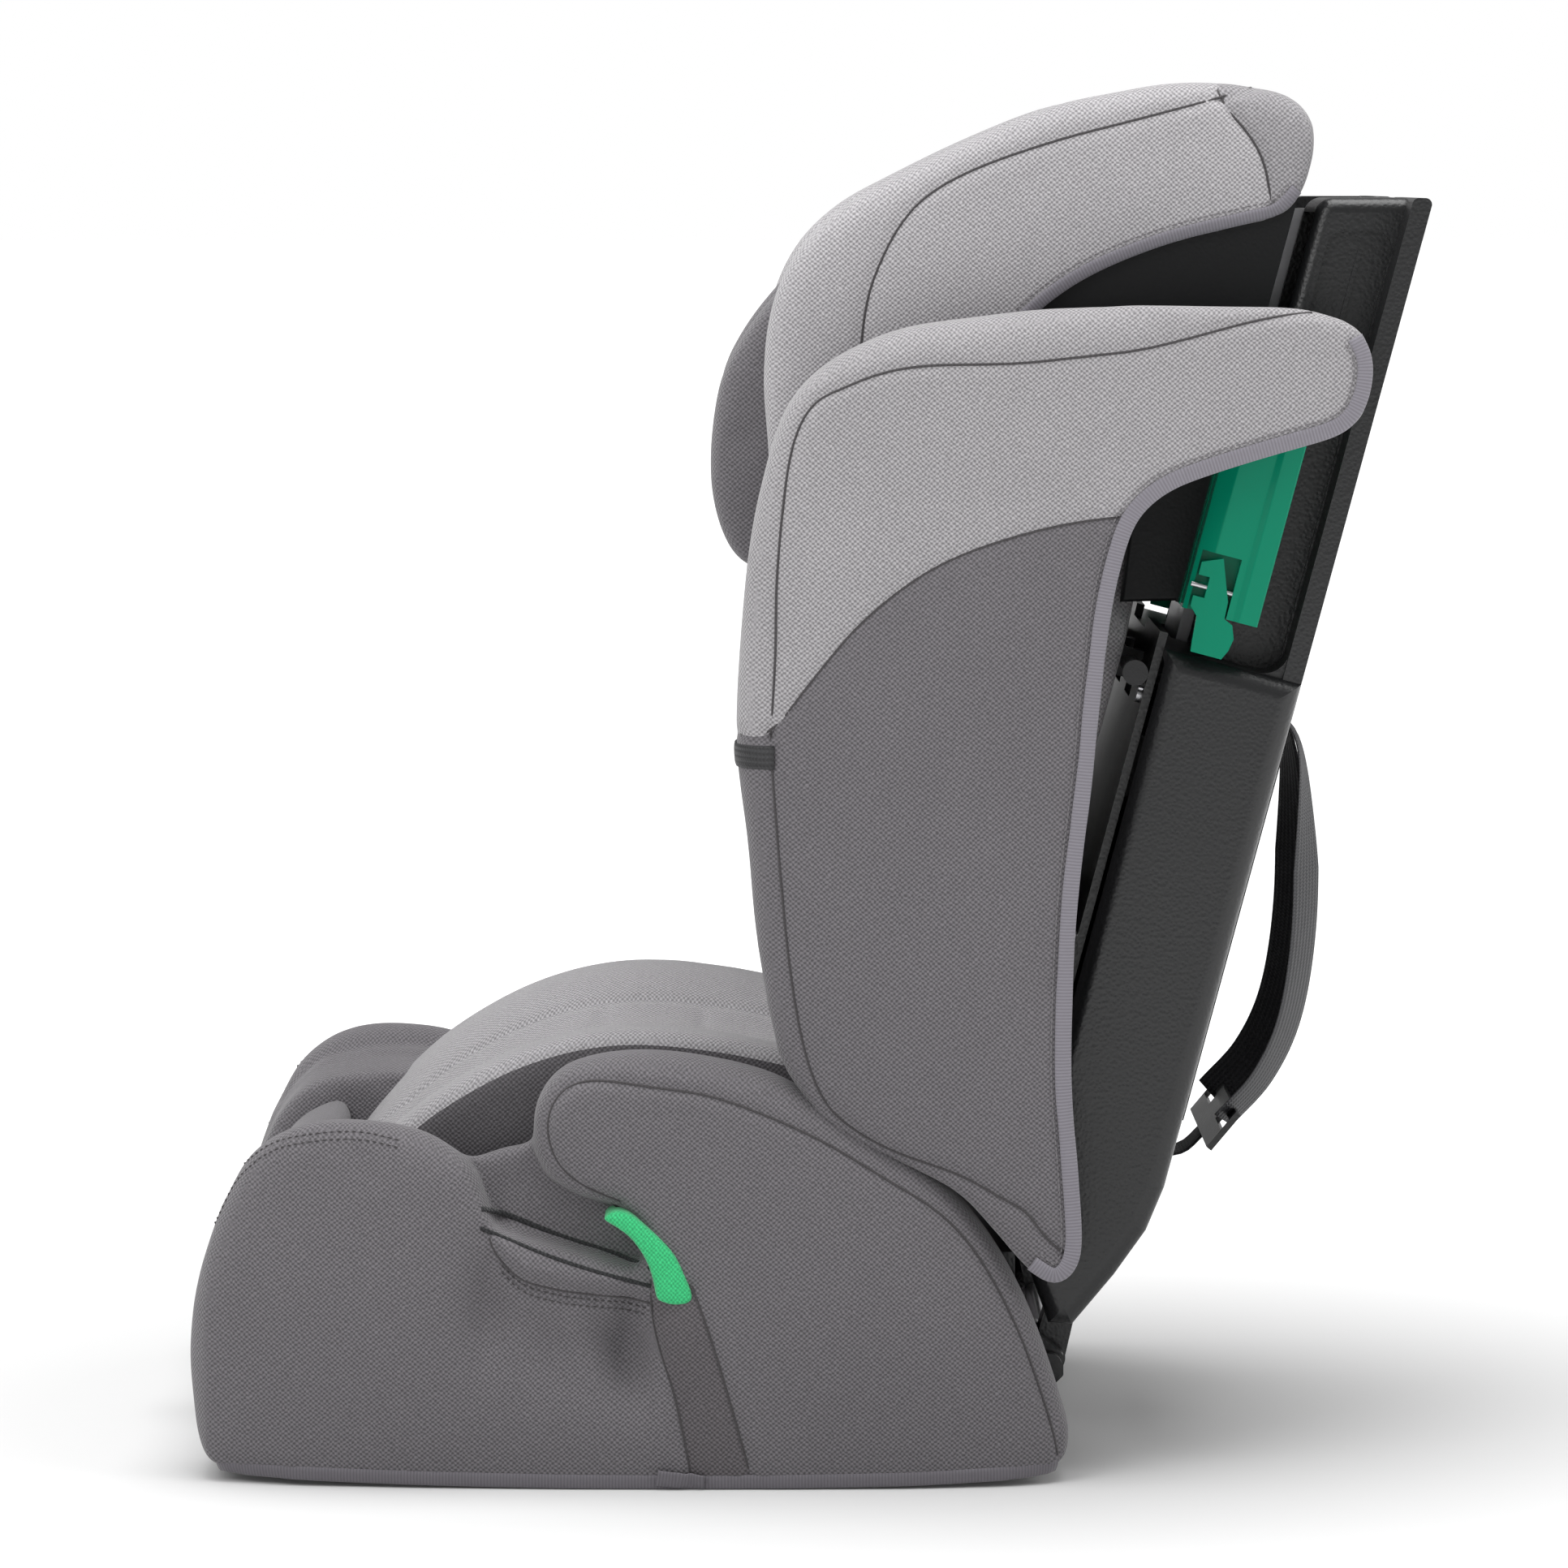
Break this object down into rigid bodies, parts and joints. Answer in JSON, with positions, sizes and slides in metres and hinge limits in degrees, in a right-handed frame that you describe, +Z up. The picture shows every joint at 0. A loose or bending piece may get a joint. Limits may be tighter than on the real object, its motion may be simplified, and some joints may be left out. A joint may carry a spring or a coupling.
{
  "type": "high-back booster seat",
  "caption": "High-back child booster seat with padded fabric cover, height-adjustable headrest, side wings, belt guides and internal harness.",
  "frame": {"origin": "centre of the base's underside, on the surface that the seat stands on", "axes": "+Z up, the seat faces -Y, +X is the seated child's left"},
  "size_m": [0.428, 0.5835, 0.6538],
  "materials": {
    "light_fabric": "woven 3D knit, light grey",
    "dark_fabric": "woven 3D knit, dark grey",
    "green_fabric": "woven, bright green",
    "green_plastic": "moulded, gloss green",
    "steel": "zinc plated",
    "tongue_black": "moulded over steel",
    "red_plastic": "gloss red",
    "webbing": "ribbed polyester webbing, black",
    "harness_pad": "padded sleeve, black",
    "trim_plastic": "fine texture black",
    "black_plastic": "blow-moulded, leather grain"
  },
  "bodies": {
    "base": {"adjuster_frame": "trim_plastic", "adjuster_pivot": "steel", "adjuster_tail_strap": "webbing", "armrest_pad_left": "dark_fabric", "armrest_pad_right": "dark_fabric", "base_rear_trim": "dark_fabric", "base_shell": "black_plastic", "belt_slot_pad_left": "dark_fabric", "belt_slot_pad_right": "dark_fabric", "buckle_case": "trim_plastic", "buckle_tongue_left": "tongue_black", "buckle_tongue_right": "tongue_black", "crotch_pad": "harness_pad", "crotch_strap": "webbing", "hinge_rod": "steel", "lap_belt_guide_left": "green_fabric", "lap_belt_guide_right": "green_fabric", "rod_caps": "trim_plastic", "seat_cushion": "light_fabric", "seat_front_panel": "dark_fabric", "thigh_bolster_left": "dark_fabric", "thigh_bolster_right": "dark_fabric"},
    "backrest": {"adjuster_strap_rear": "webbing", "back_cushion": "dark_fabric", "backrest_shell": "black_plastic", "backrest_wing_left": "light_fabric", "backrest_wing_right": "light_fabric", "bar_clips": "trim_plastic", "harness_bar": "steel", "harness_yoke": "black_plastic", "height_rack": "black_plastic", "hinge_hook_left": "black_plastic", "hinge_hook_right": "black_plastic", "inner_panel": "black_plastic", "panel_screws": "steel", "rear_strap_left": "webbing", "rear_strap_right": "webbing", "shoulder_pad_left": "harness_pad", "shoulder_pad_right": "harness_pad", "shoulder_strap_left": "webbing", "shoulder_strap_right": "webbing", "wing_elastic_left": "webbing", "wing_elastic_right": "webbing"},
    "headrest": {"belt_guide_left": "green_plastic", "belt_guide_right": "green_plastic", "handle_springs": "steel", "headrest_bolster_left": "dark_fabric", "headrest_bolster_right": "dark_fabric", "headrest_pad": "dark_fabric", "headrest_shell": "black_plastic", "headrest_stem": "steel", "headrest_wing_left": "light_fabric", "headrest_wing_right": "light_fabric", "latch_pins": "steel", "spring_seat": "black_plastic"},
    "headrest_handle": {"headrest_handle": "black_plastic"},
    "belt_guide_latch_left": {"belt_guide_latch_left": "green_plastic"},
    "belt_guide_latch_right": {"belt_guide_latch_right": "green_plastic"},
    "adjuster_lever": {"adjuster_lever": "trim_plastic"},
    "buckle_button": {"buckle_button": "red_plastic"}
  },
  "joints": [
    {"name": "backrest_recline", "type": "hinge", "parent": "base", "child": "backrest", "pos_m": [0, 0.197, 0.047], "axis": [-1, 0, 0], "range_deg": [0, 20]},
    {"name": "headrest_height", "type": "slide", "parent": "backrest", "child": "headrest", "axis": [0, 0.2571, 0.9664], "range_m": [0, 0.15]},
    {"name": "handle_pull", "type": "slide", "parent": "headrest", "child": "headrest_handle", "axis": [0, 0.2571, 0.9664], "range_m": [0, 0.008], "stiffness_N_per_m": 500, "springref_m": -0.002},
    {"name": "latch_left_swing", "type": "hinge", "parent": "headrest", "child": "belt_guide_latch_left", "pos_m": [0.183, 0.271, 0.41846], "axis": [0, -0.9664, 0.2571], "range_deg": [0, 15], "stiffness_Nm_per_rad": 0.02, "springref_deg": -5.73},
    {"name": "latch_right_swing", "type": "hinge", "parent": "headrest", "child": "belt_guide_latch_right", "pos_m": [-0.183, 0.271, 0.41846], "axis": [0, 0.9664, -0.2571], "range_deg": [0, 15], "stiffness_Nm_per_rad": 0.02, "springref_deg": -5.73},
    {"name": "adjuster_press", "type": "hinge", "parent": "base", "child": "adjuster_lever", "pos_m": [0, -0.196, 0.079], "axis": [1, 0, 0], "range_deg": [0, 15], "stiffness_Nm_per_rad": 0.05, "springref_deg": -5.73},
    {"name": "buckle_press", "type": "slide", "parent": "base", "child": "buckle_button", "axis": [0, 0.9397, -0.342], "range_m": [0, 0.004], "stiffness_N_per_m": 800, "springref_m": -0.002}
  ]
}
